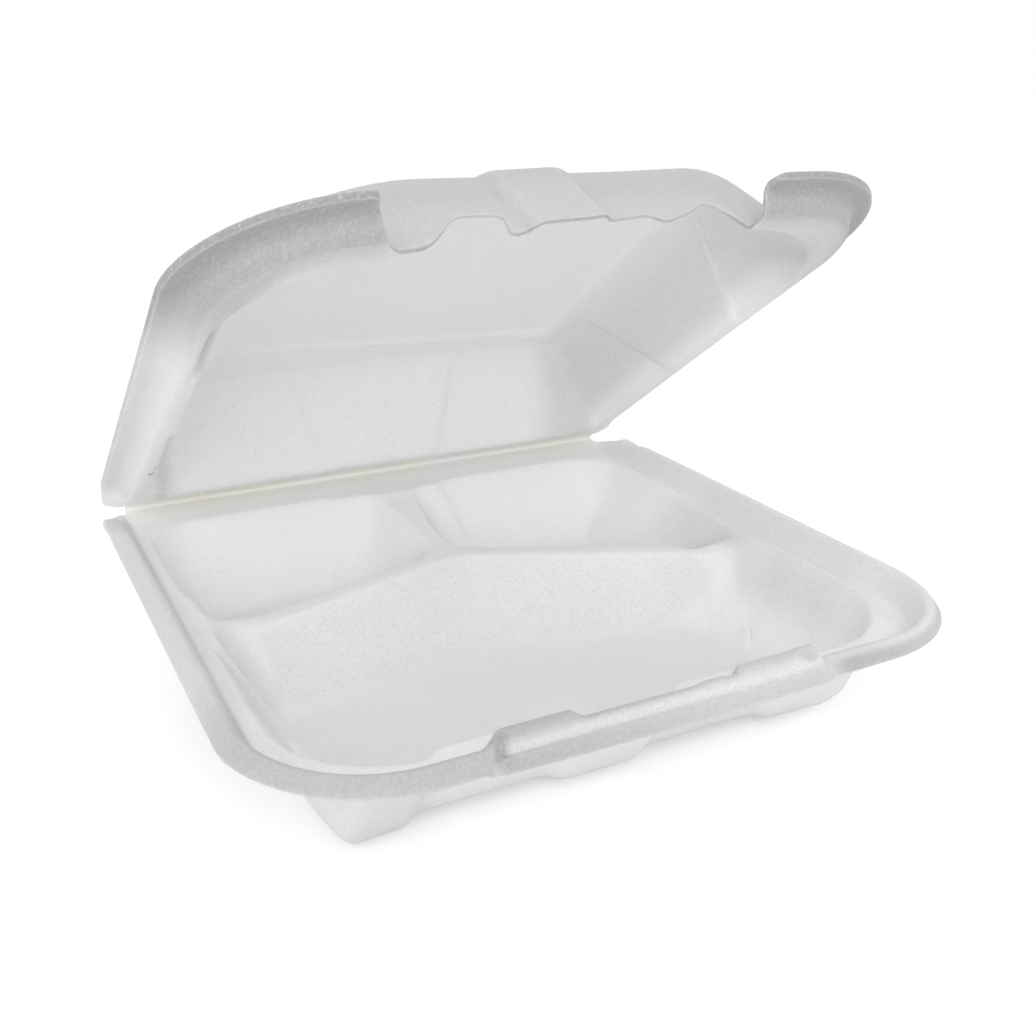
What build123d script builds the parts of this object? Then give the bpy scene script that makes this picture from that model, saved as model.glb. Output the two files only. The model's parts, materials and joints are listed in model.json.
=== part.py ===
from build123d import *
from math import cos, radians, tan
import os

# Hinged three-compartment take-out container, thermoformed from one foam sheet.
# It is drawn about its hinge line with the lid shut: X runs along the hinge, the front is
# towards -Y, Z is up, and the hinge line is at Y = 0, Z = 0. At the end the lid is turned
# open and everything moves to the part's frame, whose origin is the middle of its footprint.
# Sizes are in millimetres and degrees. Depths, reaches and drops are positive numbers.

# ------------------------------------------------------------------ overall sizes
WIDTH = 232.6              # across the base's lip near the front corners
LENGTH = 227.5             # hinge line to the front of the base's lip
FLOOR_DROP = 34.5          # hinge line down to the floor of the compartments
LID_RISE = 34.0            # hinge line up to the top of the lid
LID_OPEN = 34.6            # how far the lid is open at rest

# ------------------------------------------------------------------ the sheet and the hinge
SHEET = 2.5                # thickness of the foam sheet
HINGE_SHEET = 1.2          # thickness where the sheet is pressed along the hinge
HINGE_GAP = 0.3            # from the hinge line to each half, so that the halves never meet
HINGE_BAND = 6.0           # from the hinge line to the pressed crease beside it
HINGE_SHORT = 1.2          # the hinge stops this far inside the base's riser, at each end
NOTCH_ROOT = 4.0           # depth of the blunt root of the end notches, from the hinge line
NOTCH_REACH = 15.6         # depth of the notches in the base, at the lip's edge
LID_NOTCH_REACH = 10.0     # depth of the notches in the lid

# ------------------------------------------------------------------ base: the rim
RIM_FLARE = 1.8            # each side of the rim stands this much further out at the front
RIM_CORNER = 33.0          # corner radius at the riser's foot
RISER_RUN = 4.5            # riser's foot to the crest
RISER_RISE = 8.0
LIP_RUN = 5.5              # crest to the lip's edge
LIP_DROP = 4.4
CREST_ROUND = 2.2
LEDGE_DROP = 3.0           # hinge line down to the ledge
LEDGE_SIDE = 3.4           # width of the ledge at the sides, at the hinge
LEDGE_FRONT = 9.5          # width of the ledge at the front
LEDGE_BACK_CORNER = 1.0    # corner radius of both ledges where they meet the hinge band

# ------------------------------------------------------------------ base: the tub
TUB_BACK = 17.0            # hinge line to the cavity's back edge, at the ledge
TUB_CORNER = 35.0          # front corner radius of the cavity, at the ledge
TUB_BACK_CORNER = 14.0
TUB_CORNER_LOSS = 12.0     # how much smaller the front corner radius is at the floor
SIDE_DRAFT = 30.0          # lean of the walls from the vertical
FRONT_DRAFT = 37.0
BACK_DRAFT = 28.0

# ------------------------------------------------------------------ base: wall panels and feet
PANEL_STEP = 3.0                    # how far the recessed wall panels step in
SIDE_PANEL_TOP = (83.0, 119.0)      # hinge line to a side panel's back and front edge, at the ledge
SIDE_PANEL_FLOOR = (61.0, 147.0)    # the same at the floor: the panels widen downwards
BACK_PANEL_X = -4.0                 # middle of the back panel
BACK_PANEL_TOP = 24.0               # half its width at the ledge
BACK_PANEL_FLOOR = 34.0             # half its width at the floor
FRONT_PANELS = ((-66.0, -22.0), (13.0, 55.0))   # left and right panel of the front wall
FOOT_DROP = 2.0                     # how far the feet stand below the floor
FOOT_LENGTH = 40.0                  # corner feet, front to back
FOOT_WIDTH = 16.0                   # corner feet, across
FOOT_CORNER = 4.0
MIDDLE_FOOT = (-15.0, 8.0)          # left and right end of the foot in the middle of the front
MIDDLE_FOOT_DEPTH = 12.0

# ------------------------------------------------------------------ base: the divider
DIVIDER_TOP = 10.0         # hinge line down to the top of the divider
DIVIDER_WIDTH = 9.0        # width of its flat top
DIVIDER_DRAFT = 32.0       # lean of its sides
DIVIDER_APEX = 74.0        # hinge line to the middle of the cross wall, where the leg meets it
DIVIDER_LEFT = 106.0       # hinge line to the cross wall where it meets the left wall
DIVIDER_RIGHT = 115.0      # and where it meets the right wall
LEG_SINK = 2.0             # the leg's top lies this much lower
LEG_WIDTH = 8.0
DIVIDER_OVERRUN = 16.0     # how far the divider is drawn past the walls it melts into

# ------------------------------------------------------------------ base: the front catch
CATCH_LEFT = -58.0         # ends of the catch bar
CATCH_RIGHT = 46.0
CATCH_REACH = 11.5         # riser's foot to the front of the bar
CATCH_BACK = 1.0           # riser's foot to the back of the bar, below the ledge
CATCH_TOP = 9.5            # ledge up to the bar's ridge
CATCH_FOOT = 0.8           # ledge up to the bar's lower edge
CATCH_RIDGE = 2.5          # width of the flat ridge
CATCH_FACE = 4.0           # height of the bar's front face
BUMPS = ((2.0, 26.0), (76.0, 102.0))            # two thumb bumps that hold the lid, from the left end
BUMP_RISE = 11.0           # ledge up to their tops
BUMP_IN = 1.0              # riser's foot forward to their inner side
BUMP_DEPTH = 6.5
BUMP_ROUND = 2.4

# ------------------------------------------------------------------ lid
LID_LEDGE = 1.0            # hinge line down to the underside of the lid's ledge
LID_LEDGE_SIDE = 5.5       # width of the lid's ledge at the sides, at the hinge
LID_LEDGE_FRONT = 4.0      # and at the front
LID_PANEL_RISE = 1.5       # the top's middle panel stands this much higher
LID_PANEL_SIDE = 122.0     # width of that panel
LID_PANEL_BACK = 66.0      # hinge line to its back edge
LID_PANEL_FRONT = 77.5     # front of the base's lip back to its front edge
LID_PANEL_BEVEL = 5.0
LID_BACK = 14.0            # hinge line to the inside of the back wall, at the ledge
LID_CORNER = 42.0          # front corner radius inside, at the ledge
LID_CORNER_LOSS = 12.0
LID_BACK_CORNER = 14.0
LID_SIDE_DRAFT = 31.0
LID_FRONT_DRAFT = 36.0
LID_BACK_DRAFT = 40.0
LID_PLUG_GAP = 2.5         # the lid's riser foot stands this far inside the base's, at the front
LID_SIDE_GAP = 0.8         # and this far at the sides, at the hinge
LID_TAPER = 2.5            # each side of the lid's rim stands this much further in at the front
LID_RIM_CORNER = 37.0
LID_RISER_RUN = 3.8
LID_RISER_RISE = 7.0
LID_RISER_ROUND = 1.0
LID_LIP_RUN = 5.2
LID_SIDE_PANEL_LEDGE = (87.0, 117.0)
LID_SIDE_PANEL_TOP = (68.0, 152.0)
LID_BACK_PANEL_LEDGE = 25.0
LID_BACK_PANEL_TOP = 34.5
LID_FRONT_PANELS = ((-60.0, -18.0), (8.0, 56.0))

# The cut-out in the lid's front clears the catch: the lip and riser are missing between its two
# ends, and the wall behind is trimmed to a wavy edge, given as places along the front and heights
# above the hinge line.
CUT_GAP_LEFT = 7.0         # catch bar to the end of the lid's lip
CUT_GAP_RIGHT = 6.0
CUT_SLANT = 8.0            # how far the cut's left end leans inwards, down to the wall
CUT_SLANT_RIGHT = 2.0
CUT_LOW = -0.3             # height of the lowest stretches of the edge
CUT_MIDDLE = 2.6           # height of the edge between the two notches
CUT_NOTCH_LEFT = 6.8       # height of the notch behind each thumb bump
CUT_NOTCH_RIGHT = 8.8
CUT_WAVE = (
    (-50.0, CUT_LOW), (-40.0, CUT_NOTCH_LEFT), (-30.0, CUT_NOTCH_LEFT), (-29.0, CUT_LOW),
    (-24.0, CUT_LOW), (-20.0, CUT_MIDDLE), (15.0, CUT_MIDDLE), (17.0, CUT_LOW), (21.0, CUT_LOW),
    (33.0, CUT_NOTCH_RIGHT), (45.0, CUT_NOTCH_RIGHT),
)
CUT_ROUND = 0.8
CUT_DEEP = 24.0            # how far back from the lid's front lip the trimming reaches

# ------------------------------------------------------------------ worked out from the above
RIM_HALF_FRONT = WIDTH / 2 - RISER_RUN - LIP_RUN
RIM_HALF_BACK = RIM_HALF_FRONT - RIM_FLARE
RIM_FRONT = LENGTH - RISER_RUN - LIP_RUN
HINGE_HALF = RIM_HALF_BACK - HINGE_SHORT
LEDGE_UNDER = LEDGE_DROP + SHEET
FLOOR_UNDER = FLOOR_DROP + SHEET
TUB_DEPTH = FLOOR_DROP - LEDGE_DROP
TUB_HALF = RIM_HALF_BACK - LEDGE_SIDE
TUB_FRONT = RIM_FRONT - LEDGE_FRONT
LID_RIM_BACK = RIM_HALF_BACK - LID_SIDE_GAP
LID_RIM_FRONT = LID_RIM_BACK - LID_TAPER
LID_RIM_LENGTH = RIM_FRONT - LID_PLUG_GAP
LID_HALF = LID_RIM_BACK - LID_LEDGE_SIDE
LID_FRONT = LID_RIM_LENGTH - LID_LEDGE_FRONT
CLEAR = 6.0                # how far cutting shapes run past what they cut


def plan(half_front, half_back, front, back, corner, back_corner, z):
    """Outline at height z: straight sides that flare, and four rounded corners."""
    shape = make_face(Polyline(
        (-half_back, -back), (-half_front, -front), (half_front, -front), (half_back, -back),
        close=True,
    ))
    by_depth = shape.vertices().sort_by(Axis.Y)
    shape = fillet(by_depth[:2], corner)
    by_depth = shape.vertices().sort_by(Axis.Y)
    shape = fillet(by_depth[-2:], back_corner)
    return Pos(0, 0, z) * shape


def base_plan(down, skin=0.0, inset=0.0):
    """The tub's outline this far below its ledge; skin moves it out through the wall."""
    share = down / TUB_DEPTH
    half = TUB_HALF + skin / cos(radians(SIDE_DRAFT)) - inset - down * tan(radians(SIDE_DRAFT))
    front = TUB_FRONT + skin / cos(radians(FRONT_DRAFT)) - inset - down * tan(radians(FRONT_DRAFT))
    back = TUB_BACK - skin / cos(radians(BACK_DRAFT)) + inset + down * tan(radians(BACK_DRAFT))
    corner = TUB_CORNER + skin - TUB_CORNER_LOSS * share
    return plan(half, half, front, back, corner, TUB_BACK_CORNER, -LEDGE_DROP - down)


def lid_plan(up, skin=0.0, inset=0.0):
    """The lid's outline this far above the underside of its ledge."""
    share = up / (LID_RISE + LID_LEDGE)
    half = LID_HALF + skin / cos(radians(LID_SIDE_DRAFT)) - inset - up * tan(radians(LID_SIDE_DRAFT))
    front = LID_FRONT + skin / cos(radians(LID_FRONT_DRAFT)) - inset - up * tan(radians(LID_FRONT_DRAFT))
    back = LID_BACK - skin / cos(radians(LID_BACK_DRAFT)) + inset + up * tan(radians(LID_BACK_DRAFT))
    corner = LID_CORNER + skin - LID_CORNER_LOSS * share
    return plan(half, half, front, back, corner, LID_BACK_CORNER, up - LID_LEDGE)


def between(plan_of, low, high, **where):
    """Solid between the outlines at two depths."""
    return loft([plan_of(low, **where), plan_of(high, **where)], ruled=True)


def stepped(whole, stepped_in, zones):
    """The whole shape, with its walls stepped in inside the zones."""
    return stepped_in + (whole - zones)


def side_zone(back, front, z_first, z_last, grow):
    """Panel on both side walls: its back and front edge, as distances from the hinge line."""
    corners = (
        (-front[0] - grow, z_first), (-back[0] + grow, z_first),
        (-back[1] + grow, z_last), (-front[1] - grow, z_last),
    )
    face = Plane.YZ * make_face(Polyline(*corners, close=True))
    return extrude(face, amount=RIM_HALF_FRONT, both=True)


def wall_zone(left, right, y_from, y_to, z_first, z_last, grow):
    """Panel on the front or back wall: its left and right edge, each at two heights."""
    corners = (
        (left[0] - grow, z_first), (right[0] + grow, z_first),
        (right[1] + grow, z_last), (left[1] - grow, z_last),
    )
    face = Pos(0, y_to, 0) * (Plane.XZ * make_face(Polyline(*corners, close=True)))
    return extrude(face, amount=y_to - y_from)


def rim(half_front, half_back, front, corner, foot_z, outline):
    """A rim profile carried round the sides and front, from one hinge corner to the other."""
    route = FilletPolyline(
        (half_back, CLEAR), (half_front, -front), (-half_front, -front), (-half_back, CLEAR),
        radius=corner,
    )
    start = Plane(origin=route @ 0, x_dir=(1, 0, 0), z_dir=route % 0)
    return Pos(0, 0, foot_z) * sweep(start * outline, path=route)


def rim_profile(side, riser, lip, rounded):
    """The sheet's strip from the ledge up the riser and out along the lip, seen end on.

    The line starts a sheet's thickness inside the riser's foot, so that the strip is one with
    the ledge, and it is thickened to the given side.
    """
    line = FilletPolyline((-SHEET, 0), (0, 0), riser, lip, radius=rounded)
    return make_face(offset(line, SHEET, side=side))


def bar(points, left, right):
    """A shape seen from the side, carried along X."""
    face = Plane.YZ * make_face(Polyline(*points, close=True))
    return Pos(left, 0, 0) * extrude(face, amount=right - left)


def notched(shape, reach):
    """Cuts the two notches at the ends of the hinge, and the gap along the hinge line."""
    edge = WIDTH / 2
    wide = edge + CLEAR
    deep = NOTCH_ROOT + (reach - NOTCH_ROOT) * (wide - HINGE_HALF) / (edge - HINGE_HALF)
    corners = (
        (HINGE_HALF, 0), (HINGE_HALF, -NOTCH_ROOT), (wide, -deep), (wide, 2 * CLEAR),
        (-wide, 2 * CLEAR), (-wide, -deep), (-HINGE_HALF, -NOTCH_ROOT), (-HINGE_HALF, 0),
    )
    tall = FLOOR_DROP + LID_RISE
    cutter = Pos(0, -HINGE_GAP, -tall) * make_face(Polyline(*corners, close=True))
    return shape - extrude(cutter, amount=2 * tall)


# ------------------------------------------------------------------ base tray
def leaning(at_first, at_last, first, last):
    """Carries a leaning edge CLEAR past both of its ends."""
    over = (at_last - at_first) * CLEAR / abs(last - first)
    return at_first - over, at_last + over


def base_zones(grow):
    """The recessed panels in the base's walls."""
    z_top = CLEAR - LEDGE_DROP
    z_floor = -FLOOR_DROP - CLEAR
    heights = (-LEDGE_DROP, -FLOOR_DROP)
    back_edge = leaning(SIDE_PANEL_TOP[0], SIDE_PANEL_FLOOR[0], *heights)
    front_edge = leaning(SIDE_PANEL_TOP[1], SIDE_PANEL_FLOOR[1], *heights)
    zones = side_zone(back_edge, front_edge, z_top, z_floor, grow)
    half = leaning(BACK_PANEL_TOP, BACK_PANEL_FLOOR, *heights)
    zones += wall_zone(
        [BACK_PANEL_X - h for h in half], [BACK_PANEL_X + h for h in half],
        -SIDE_PANEL_FLOOR[0] + CLEAR, CLEAR, z_top, z_floor, grow,
    )
    for left, right in FRONT_PANELS:
        zones += wall_zone(
            (left, left), (right, right), -TUB_FRONT - CLEAR, -SIDE_PANEL_FLOOR[1] - CLEAR,
            z_top, z_floor, grow,
        )
    return zones


def divider(shrink):
    """The Y-shaped ridge; shrink draws the hollow under it, one sheet inside."""
    lean = tan(radians(DIVIDER_DRAFT))
    bottom = FLOOR_DROP + shrink
    edge = SHEET / cos(radians(DIVIDER_DRAFT)) if shrink else 0.0

    def cross(z, half):
        reach = TUB_HALF + DIVIDER_OVERRUN
        left_slope = (DIVIDER_LEFT - DIVIDER_APEX) / TUB_HALF
        right_slope = (DIVIDER_RIGHT - DIVIDER_APEX) / TUB_HALF
        left_y = -DIVIDER_APEX - left_slope * reach
        right_y = -DIVIDER_APEX - right_slope * reach
        outline = Polyline(
            (-reach, left_y - half), (0, -DIVIDER_APEX - half), (reach, right_y - half),
            (reach, right_y + half), (0, -DIVIDER_APEX + half), (-reach, left_y + half),
            close=True,
        )
        return Pos(0, 0, z) * make_face(outline)

    def leg(z, half):
        return Pos(0, -DIVIDER_APEX / 2, z) * Rectangle(2 * half, DIVIDER_APEX)

    top = DIVIDER_TOP + shrink
    half_top = DIVIDER_WIDTH / 2 + shrink * lean - edge
    half_bottom = half_top + (bottom - top) * lean
    ridge = loft([cross(-top, half_top), cross(-bottom, half_bottom)], ruled=True)
    leg_top = top + LEG_SINK
    half_leg = LEG_WIDTH / 2 + shrink * lean - edge
    half_leg_bottom = half_leg + (bottom - leg_top) * lean
    return ridge + loft([leg(-leg_top, half_leg), leg(-bottom, half_leg_bottom)], ruled=True)


def foot_columns(shrink):
    """Upright columns through the five feet; shrink draws those of the pockets inside them."""
    half = TUB_HALF - TUB_DEPTH * tan(radians(SIDE_DRAFT)) - FOOT_WIDTH + shrink
    front = TUB_FRONT - TUB_DEPTH * tan(radians(FRONT_DRAFT))
    back = TUB_BACK + TUB_DEPTH * tan(radians(BACK_DRAFT))
    tall = 2 * FLOOR_DROP
    columns = Part()
    for y_from, y_to in (
        (-front - FOOT_WIDTH, -front + FOOT_LENGTH - shrink),
        (-back - FOOT_LENGTH + shrink, -back + FOOT_WIDTH),
    ):
        for x_from, x_to in ((-TUB_HALF, -half), (half, TUB_HALF)):
            pad = Rectangle(x_to - x_from, y_to - y_from)
            pad = fillet(pad.vertices(), FOOT_CORNER)
            columns += Pos((x_from + x_to) / 2, (y_from + y_to) / 2, -tall) * extrude(pad, amount=tall)
    left, right = MIDDLE_FOOT
    deep = MIDDLE_FOOT_DEPTH - shrink
    pad = Rectangle(right - left - 2 * shrink, FOOT_WIDTH + deep)
    pad = fillet(pad.vertices(), FOOT_CORNER - shrink / 2)
    middle = Pos((left + right) / 2, -front + (deep - FOOT_WIDTH) / 2, -tall)
    return columns + middle * extrude(pad, amount=tall)


def on_feet(shape, floor, shrink):
    """Leaves a shape that reaches down to the feet only in the feet, below the given floor."""
    below = Pos(0, 0, -floor) * Box(
        2 * WIDTH, 3 * LENGTH, 2 * FLOOR_DROP, align=(Align.CENTER, Align.CENTER, Align.MAX),
    )
    return shape - (below - foot_columns(shrink))


def base_hinge_band():
    """The base's half of the hinge: up from the ledge and pressed thin at the line."""
    return bar(
        (
            (-TUB_BACK + SHEET, -LEDGE_DROP), (-HINGE_BAND - SHEET, -LEDGE_DROP),
            (-HINGE_BAND, -HINGE_GAP - HINGE_SHEET / 2), (0, -HINGE_GAP / 2),
            (0, -HINGE_GAP / 2 - HINGE_SHEET), (-HINGE_BAND, -HINGE_GAP - SHEET),
            (-HINGE_BAND - SHEET, -LEDGE_UNDER), (-TUB_BACK + SHEET, -LEDGE_UNDER),
        ),
        -RIM_HALF_BACK - SHEET / 2, RIM_HALF_BACK + SHEET / 2,
    )


def catch(shrink):
    """The catch bar in front of the rim; shrink draws the hollow behind it."""
    foot = -RIM_FRONT
    front = foot - CATCH_REACH + shrink
    low = CATCH_FOOT - LEDGE_DROP
    ridge = CATCH_TOP - LEDGE_DROP - shrink
    over = CLEAR if shrink else 0.0
    points = (
        (foot - shrink - CATCH_BACK, -LEDGE_UNDER), (foot - shrink / 2 - RISER_RUN, ridge),
        (foot - RISER_RUN - CATCH_RIDGE, ridge), (front, low + CATCH_FACE), (front, low - over),
        (foot - shrink - CATCH_FACE, -LEDGE_UNDER - over),
    )
    return bar(points, CATCH_LEFT + shrink, CATCH_RIGHT - shrink)


def bumps():
    """The two thumb bumps on the catch."""
    tall = BUMP_RISE - CATCH_TOP + SHEET
    solids = Part()
    for left, right in BUMPS:
        block = Box(right - left, BUMP_DEPTH, tall)
        block = fillet(block.edges().group_by(Axis.Z)[-1], BUMP_ROUND)
        middle = CATCH_LEFT + (left + right) / 2
        place = Pos(middle, -RIM_FRONT - BUMP_IN - BUMP_DEPTH / 2, BUMP_RISE - LEDGE_DROP - tall / 2)
        solids += place * block
    return solids


def base_tray():
    deep = TUB_DEPTH + FOOT_DROP
    outer = stepped(
        between(base_plan, 0, deep + SHEET, skin=SHEET),
        between(base_plan, 0, deep + SHEET, skin=SHEET, inset=PANEL_STEP),
        base_zones(0),
    )
    cavity = stepped(
        between(base_plan, 0, deep),
        between(base_plan, 0, deep, inset=PANEL_STEP),
        base_zones(SHEET),
    )
    outer = on_feet(outer, FLOOR_UNDER, 0)
    cavity = on_feet(cavity, FLOOR_DROP, SHEET)
    mouth = cavity.faces().sort_by(Axis.Z)[-1]
    cavity += extrude(mouth, amount=LEDGE_DROP)
    ledge_plan = plan(
        RIM_HALF_FRONT, RIM_HALF_BACK, RIM_FRONT, HINGE_BAND + SHEET,
        RIM_CORNER, LEDGE_BACK_CORNER, -LEDGE_UNDER,
    )
    ledge = extrude(ledge_plan, amount=SHEET)
    outline = rim_profile(
        Side.RIGHT, (RISER_RUN, RISER_RISE), (RISER_RUN + LIP_RUN, RISER_RISE - LIP_DROP),
        CREST_ROUND,
    )
    edge = rim(RIM_HALF_FRONT, RIM_HALF_BACK, RIM_FRONT, RIM_CORNER, -LEDGE_DROP, outline)
    tray = outer + ledge + edge + base_hinge_band() + catch(0) + bumps()
    tray -= cavity - divider(0)
    tray -= divider(SHEET)
    tray -= catch(SHEET)
    return notched(tray, NOTCH_REACH)


# ------------------------------------------------------------------ lid
def lid_zones(grow):
    """The recessed panels in the lid's walls."""
    z_low = -LID_LEDGE - CLEAR
    z_high = LID_RISE + CLEAR
    heights = (-LID_LEDGE, LID_RISE)
    back_edge = leaning(LID_SIDE_PANEL_LEDGE[0], LID_SIDE_PANEL_TOP[0], *heights)
    front_edge = leaning(LID_SIDE_PANEL_LEDGE[1], LID_SIDE_PANEL_TOP[1], *heights)
    zones = side_zone(back_edge, front_edge, z_low, z_high, grow)
    half = leaning(LID_BACK_PANEL_LEDGE, LID_BACK_PANEL_TOP, *heights)
    zones += wall_zone(
        [BACK_PANEL_X - h for h in half], [BACK_PANEL_X + h for h in half],
        -LID_SIDE_PANEL_TOP[0] + CLEAR, CLEAR, z_low, z_high, grow,
    )
    for left, right in LID_FRONT_PANELS:
        zones += wall_zone(
            (left, left), (right, right), -LID_FRONT - CLEAR, -LID_SIDE_PANEL_TOP[1] - CLEAR,
            z_low, z_high, grow,
        )
    return zones


def top_panel(z, rise):
    """The raised panel in the middle of the top, with bevelled edges."""
    front = LENGTH - LID_PANEL_FRONT
    middle = -(LID_PANEL_BACK + front) / 2
    length = front - LID_PANEL_BACK
    low = Rectangle(LID_PANEL_SIDE + 2 * LID_PANEL_BEVEL, length + 2 * LID_PANEL_BEVEL)
    high = Rectangle(LID_PANEL_SIDE, length)
    low = Pos(0, middle, z) * low
    high = Pos(0, middle, z + rise) * high
    return loft([low, high], ruled=True)


def lid_hinge_band():
    """The lid's half of the hinge."""
    return bar(
        (
            (-LID_BACK + SHEET, -LID_LEDGE), (-HINGE_BAND - SHEET, -LID_LEDGE),
            (-HINGE_BAND, HINGE_GAP), (0, HINGE_GAP / 2),
            (0, HINGE_GAP / 2 + HINGE_SHEET), (-HINGE_BAND, HINGE_GAP + SHEET),
            (-HINGE_BAND - SHEET, SHEET - LID_LEDGE), (-LID_BACK + SHEET, SHEET - LID_LEDGE),
        ),
        -LID_RIM_BACK, LID_RIM_BACK,
    )


def under_lid_band():
    """The room below the lid's half of the hinge, which its riser keeps out of too."""
    return bar(
        (
            (-HINGE_BAND - SHEET, -LID_LEDGE), (-HINGE_BAND, HINGE_GAP), (0, HINGE_GAP / 2),
            (0, -LID_LEDGE - CLEAR), (-HINGE_BAND - SHEET, -LID_LEDGE - CLEAR),
        ),
        -WIDTH / 2, WIDTH / 2,
    )


def cut_out():
    """Everything the cut-out takes from the front of the lid."""
    left = CATCH_LEFT - CUT_GAP_LEFT
    right = CATCH_RIGHT + CUT_GAP_RIGHT
    wall_left = left + CUT_SLANT
    wall_right = right - CUT_SLANT_RIGHT
    wall = LID_FRONT + SHEET / cos(radians(LID_FRONT_DRAFT))
    reach = LENGTH + CLEAR
    low = -LID_LEDGE - CLEAR
    opening = make_face(Polyline(
        (left, -reach), (right, -reach), (wall_right, -wall), (wall_left, -wall), close=True,
    ))
    slot = Pos(0, 0, low) * extrude(opening, amount=LID_RISER_RISE + SHEET + 2 * CLEAR)
    wave = FilletPolyline(
        (wall_left, low), (wall_left, CUT_LOW), *CUT_WAVE, (wall_right, CUT_LOW), (wall_right, low),
        radius=CUT_ROUND,
    )
    edge = Plane.XZ * make_face(Curve() + [wave, Line(wave @ 1, wave @ 0)])
    trim = Pos(0, CUT_DEEP - reach, 0) * extrude(edge, amount=CUT_DEEP)
    return slot + trim


def lid():
    height = LID_RISE + LID_LEDGE
    outer = stepped(
        between(lid_plan, 0, height, skin=SHEET),
        between(lid_plan, 0, height, skin=SHEET, inset=PANEL_STEP),
        lid_zones(0),
    )
    hollow = stepped(
        between(lid_plan, 0, height - SHEET),
        between(lid_plan, 0, height - SHEET, inset=PANEL_STEP),
        lid_zones(SHEET),
    )
    outer += top_panel(LID_RISE, LID_PANEL_RISE)
    hollow += top_panel(LID_RISE - SHEET, LID_PANEL_RISE)
    mouth = hollow.faces().sort_by(Axis.Z)[0]
    hollow += extrude(mouth, amount=LID_LEDGE + CLEAR)
    ledge_plan = plan(
        LID_RIM_FRONT, LID_RIM_BACK, LID_RIM_LENGTH, HINGE_BAND + SHEET,
        LID_RIM_CORNER, LEDGE_BACK_CORNER, -LID_LEDGE,
    )
    ledge = extrude(ledge_plan, amount=SHEET)
    outline = rim_profile(
        Side.LEFT, (LID_RISER_RUN, LID_RISER_RISE),
        (LID_RISER_RUN + LID_LIP_RUN, LID_RISER_RISE), LID_RISER_ROUND,
    )
    edge = rim(LID_RIM_FRONT, LID_RIM_BACK, LID_RIM_LENGTH, LID_RIM_CORNER, -LID_LEDGE, outline)
    cover = outer + ledge + edge + lid_hinge_band() - hollow - cut_out() - under_lid_band()
    return notched(cover, LID_NOTCH_REACH)


# ------------------------------------------------------------------ placing
parts = {"base_tray": base_tray(), "lid": Rot(-LID_OPEN, 0, 0) * lid()}
whole = parts["base_tray"].bounding_box().add(parts["lid"].bounding_box())
hinge_y = -whole.center().Y
hinge_z = -whole.min.Z
print(f"hinge line at y = {hinge_y:.3f}, z = {hinge_z:.3f}")

os.makedirs("parts", exist_ok=True)
for name, shape in parts.items():
    export_step(Pos(0, hinge_y, hinge_z) * shape, f"parts/{name}.step")
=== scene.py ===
import json
import math

import bpy
import numpy as np
from mathutils import Matrix, Vector
from mathutils.geometry import delaunay_2d_cdt


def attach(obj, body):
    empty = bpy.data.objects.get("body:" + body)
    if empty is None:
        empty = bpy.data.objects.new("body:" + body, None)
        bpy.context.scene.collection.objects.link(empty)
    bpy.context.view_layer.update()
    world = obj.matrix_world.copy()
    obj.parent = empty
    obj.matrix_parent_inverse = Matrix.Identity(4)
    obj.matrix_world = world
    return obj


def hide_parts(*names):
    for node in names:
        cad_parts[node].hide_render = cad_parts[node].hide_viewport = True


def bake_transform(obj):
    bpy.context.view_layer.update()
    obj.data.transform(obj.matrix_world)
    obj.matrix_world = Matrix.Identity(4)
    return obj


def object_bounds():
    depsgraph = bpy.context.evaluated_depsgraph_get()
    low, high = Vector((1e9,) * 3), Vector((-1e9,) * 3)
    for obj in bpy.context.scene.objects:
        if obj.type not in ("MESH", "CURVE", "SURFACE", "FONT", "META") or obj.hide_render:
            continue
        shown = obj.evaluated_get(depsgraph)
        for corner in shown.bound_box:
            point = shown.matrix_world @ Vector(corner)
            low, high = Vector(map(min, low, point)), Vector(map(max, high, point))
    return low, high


# A three-compartment foam container, its lid half open. Tray and lid are modelled as height
# fields over their plan, thickened to a sheet, and joined by a bending strip at the hinge.
# Shapes are drawn in millimetres about the hinge line with the lid shut: X along the hinge,
# front towards -Y, Z up. In these functions e is how far a point lies outside the rim line,
# and share is how far down a wall it lies, from 0 at the ledge to 1 at the floor or top.

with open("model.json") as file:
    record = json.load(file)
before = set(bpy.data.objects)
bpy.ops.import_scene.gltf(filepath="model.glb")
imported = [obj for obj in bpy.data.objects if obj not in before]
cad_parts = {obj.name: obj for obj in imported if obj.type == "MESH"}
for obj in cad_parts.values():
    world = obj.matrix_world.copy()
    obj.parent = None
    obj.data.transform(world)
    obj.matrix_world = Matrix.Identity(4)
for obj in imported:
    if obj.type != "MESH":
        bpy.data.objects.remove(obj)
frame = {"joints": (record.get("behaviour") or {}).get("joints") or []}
cad_low, cad_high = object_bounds()
hinge = frame["joints"][0]
HINGE = Vector(hinge["pos_m"])
LID_OPEN = math.radians(-hinge["range_deg"][0])

# ------------------------------------------------------------------ the sheet
SHEET = 2.5
SHEET_HINGE = 1.2          # pressed thin at the hinge
TRAY_SHEET_RIM = 1.9       # and drawn thinner over the rims
LID_SHEET_RIM = 2.1
CUT_SHEET = 1.1            # and along the lid's cut-out
SEAM = 3.5                 # how far in front of the hinge line the bending strip ends
HINGE_HALF = 104.2         # half the hinge's length


def tan_degrees(angle):
    return math.tan(math.radians(angle))


# ------------------------------------------------------------------ tray
RIM = dict(half_back=104.5, half_front=106.3, front=217.5, corner=33.0)
LIP = 10.0                 # how far the lip reaches outside the rim line
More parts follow.
